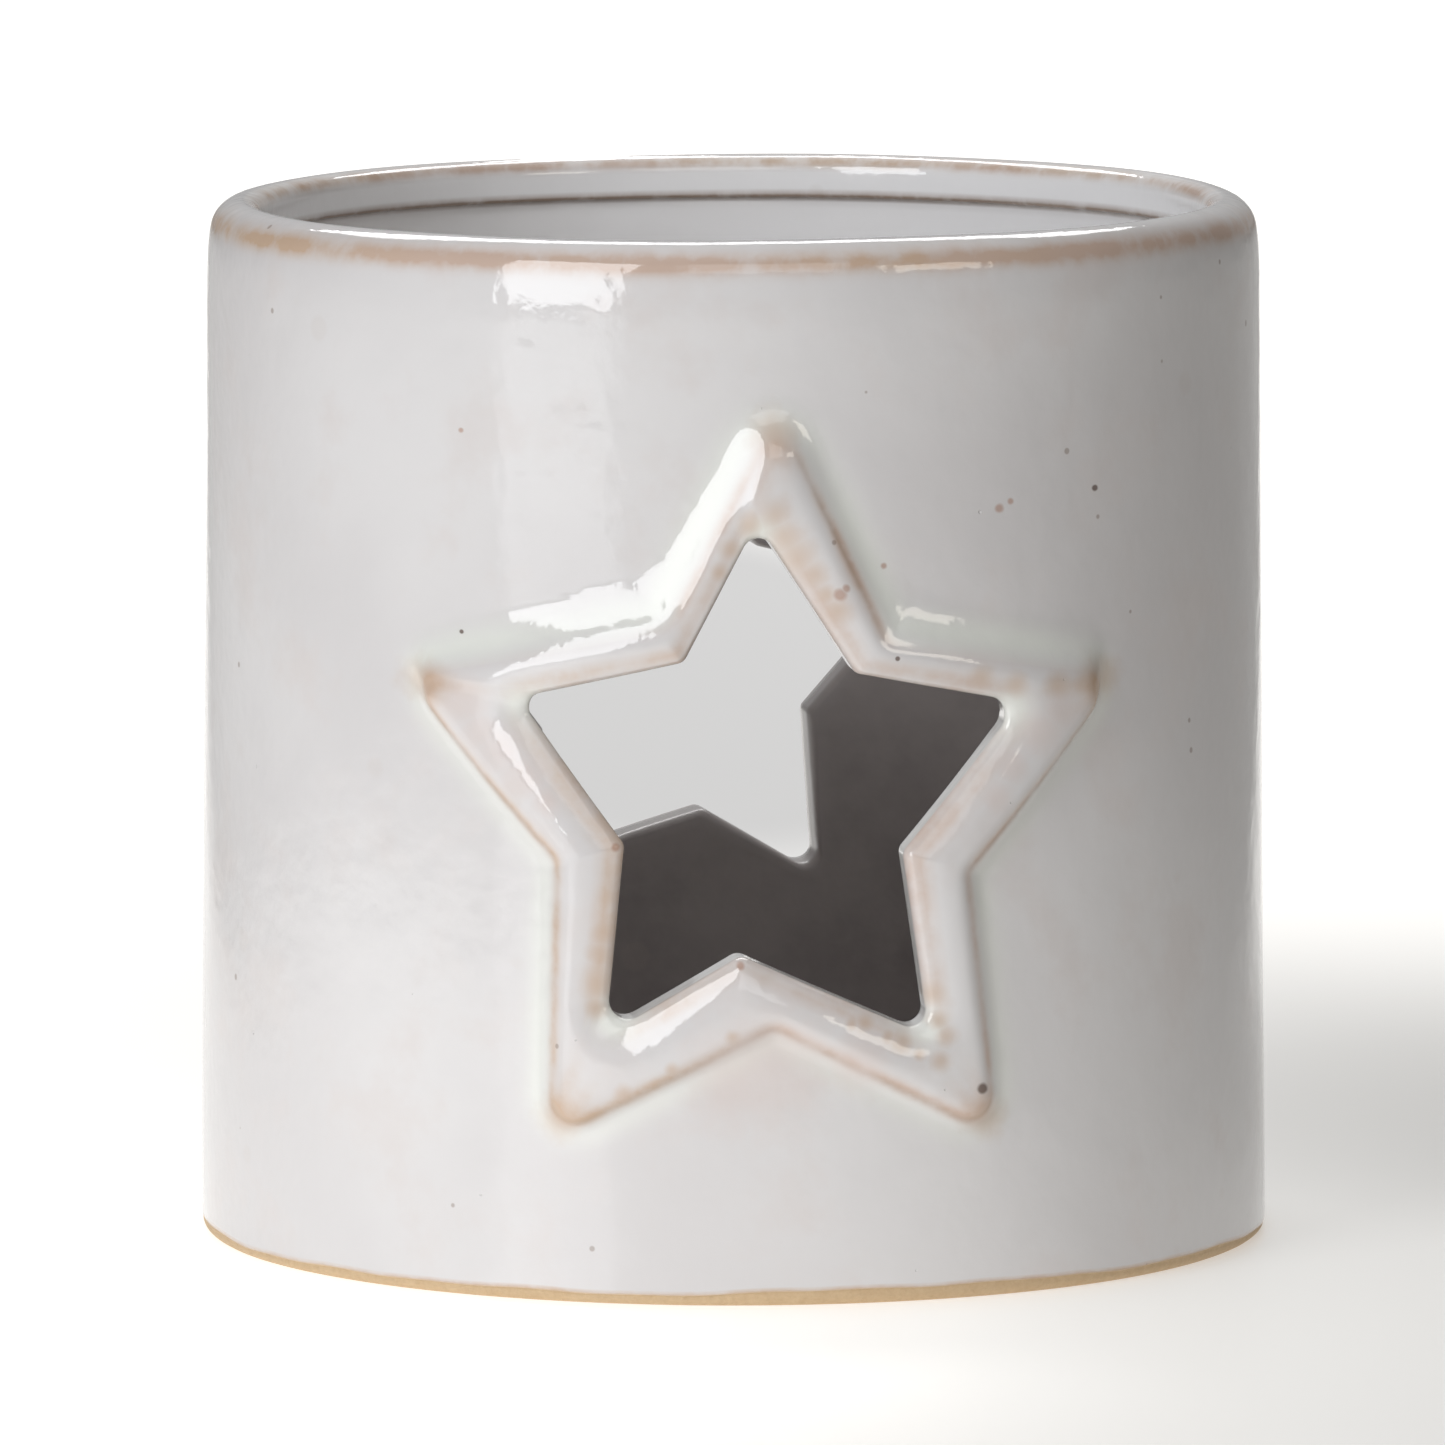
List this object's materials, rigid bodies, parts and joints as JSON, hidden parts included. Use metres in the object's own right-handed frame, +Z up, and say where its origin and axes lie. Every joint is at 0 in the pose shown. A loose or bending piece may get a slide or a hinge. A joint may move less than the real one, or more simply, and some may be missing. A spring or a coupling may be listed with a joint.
{
  "type": "tealight holder",
  "caption": "Thick glazed stoneware cup for a tealight, with a raised star-shaped window cut through the wall at the front and the back, holding a low tealight.",
  "frame": {"origin": "centre of the foot, on the surface that the holder stands on", "axes": "+Z up along the cup's axis; the front star window faces -Y and the back one +Y"},
  "size_m": [0.0848, 0.087, 0.082],
  "materials": {
    "glazed_stoneware": "glossy off-white glaze, thin and tan on the edges, bare clay at the foot",
    "candle_cup_foil": "bright drawn foil",
    "candle_wax": "pressed paraffin, slightly translucent",
    "candle_wick": "braided cotton",
    "sustainer_steel": "tinned sheet"
  },
  "bodies": {
    "holder": {"ceramic_body": "glazed_stoneware"},
    "tealight": {"tealight_cup": "candle_cup_foil"},
    "candle": {"tealight_wax": "candle_wax", "tealight_wick": "candle_wick", "wick_sustainer": "sustainer_steel"}
  },
  "joints": [
    {"name": "tealight_lift", "type": "slide", "parent": "holder", "child": "tealight", "axis": [0, 0, 1], "range_m": [0, 0.09]},
    {"name": "candle_lift", "type": "slide", "parent": "tealight", "child": "candle", "axis": [0, 0, 1], "range_m": [0, 0.014]}
  ]
}
